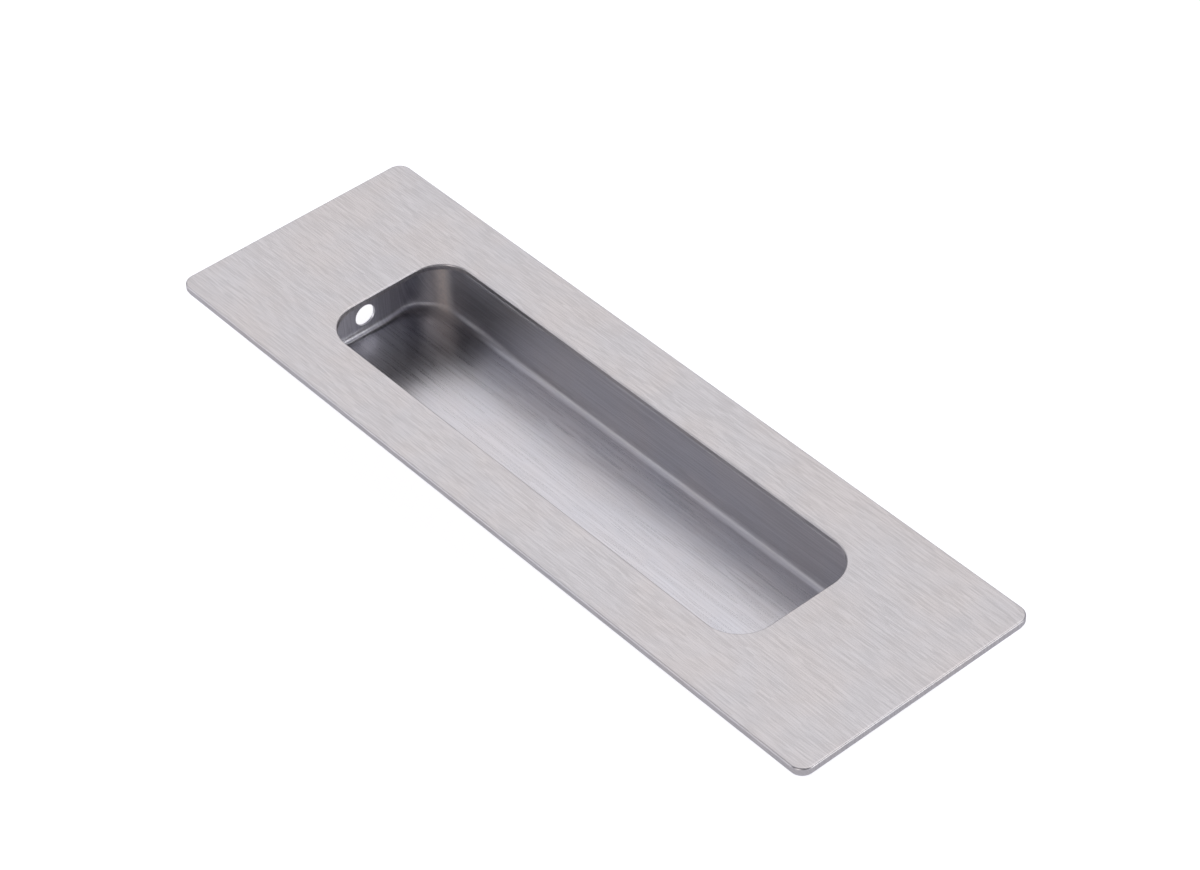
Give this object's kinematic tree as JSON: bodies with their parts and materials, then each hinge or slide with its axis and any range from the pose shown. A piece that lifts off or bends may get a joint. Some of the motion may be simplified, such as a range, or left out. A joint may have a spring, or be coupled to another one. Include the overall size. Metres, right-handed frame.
{
  "type": "recessed pull handle",
  "caption": "Flat rectangular face plate with a rounded window over a drawn finger cup that is let into a sliding door, with screw holes in the cup's end walls.",
  "frame": {"origin": "middle of the underside of the cup's floor", "axes": "+X along the length, +Y across the width, +Z out of the front face"},
  "size_m": [0.16, 0.05, 0.0145],
  "materials": {
    "plate_steel": "satin, brushed along the length",
    "cup_steel": "satin, brushed along the length, with smoother drawn corners"
  },
  "bodies": {
    "root": {"face_plate": "plate_steel", "cup": "cup_steel"}
  },
  "joints": []
}
